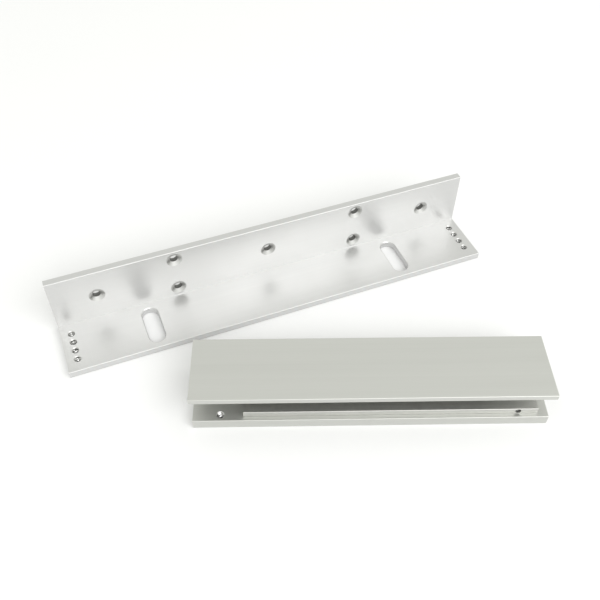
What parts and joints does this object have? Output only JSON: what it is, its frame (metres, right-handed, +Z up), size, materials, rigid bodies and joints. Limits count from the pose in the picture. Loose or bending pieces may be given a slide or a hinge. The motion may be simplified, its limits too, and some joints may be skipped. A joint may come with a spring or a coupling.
{
  "type": "magnetic door lock bracket set",
  "caption": "Aluminium bracket set for a magnetic door lock: a drilled L bracket and an adjustable Z bracket of two nested angles with a sliding nut bar.",
  "frame": {"origin": "centre of the overall box of the two brackets, on the surface they lie on", "axes": "+X along the L bracket, +Z up; the L bracket's upright leg is at +Y and the Z bracket lies in front of it, towards -Y, turned by 20.5 degrees"},
  "size_m": [0.25, 0.1548, 0.038],
  "materials": {
    "anodised_aluminium": "satin clear anodised, fine drawn grain along the length",
    "plated_steel": "bright zinc plated, fine brushed grain",
    "zinc_fasteners": "bright zinc plated"
  },
  "bodies": {
    "l_body": {"l_bracket": "anodised_aluminium"},
    "z_base": {"armature_angle": "anodised_aluminium", "web_screw_1": "zinc_fasteners", "web_screw_2": "zinc_fasteners", "web_screw_3": "zinc_fasteners", "web_screw_4": "zinc_fasteners", "web_washer_1": "zinc_fasteners", "web_washer_2": "zinc_fasteners", "web_washer_3": "zinc_fasteners", "web_washer_4": "zinc_fasteners", "spring_washer_1": "zinc_fasteners", "spring_washer_2": "zinc_fasteners", "spring_washer_3": "zinc_fasteners", "spring_washer_4": "zinc_fasteners", "web_nut_1": "zinc_fasteners", "web_nut_2": "zinc_fasteners", "web_nut_3": "zinc_fasteners", "web_nut_4": "zinc_fasteners"},
    "z_door": {"door_angle": "anodised_aluminium"},
    "z_bar": {"nut_bar": "plated_steel", "bar_screw_left": "zinc_fasteners", "bar_screw_right": "zinc_fasteners"}
  },
  "joints": [
    {"name": "z_bracket_lift", "type": "slide", "parent": "l_body", "child": "z_base", "axis": [0, 0, 1], "range_m": [0, 0.08]},
    {"name": "door_angle_lift", "type": "slide", "parent": "z_base", "child": "z_door", "axis": [0, 0, 1], "range_m": [0, 0.007]},
    {"name": "nut_bar_slide", "type": "slide", "parent": "z_base", "child": "z_bar", "axis": [0.9367, -0.3502, 0], "range_m": [-0.025, 0.005]}
  ]
}
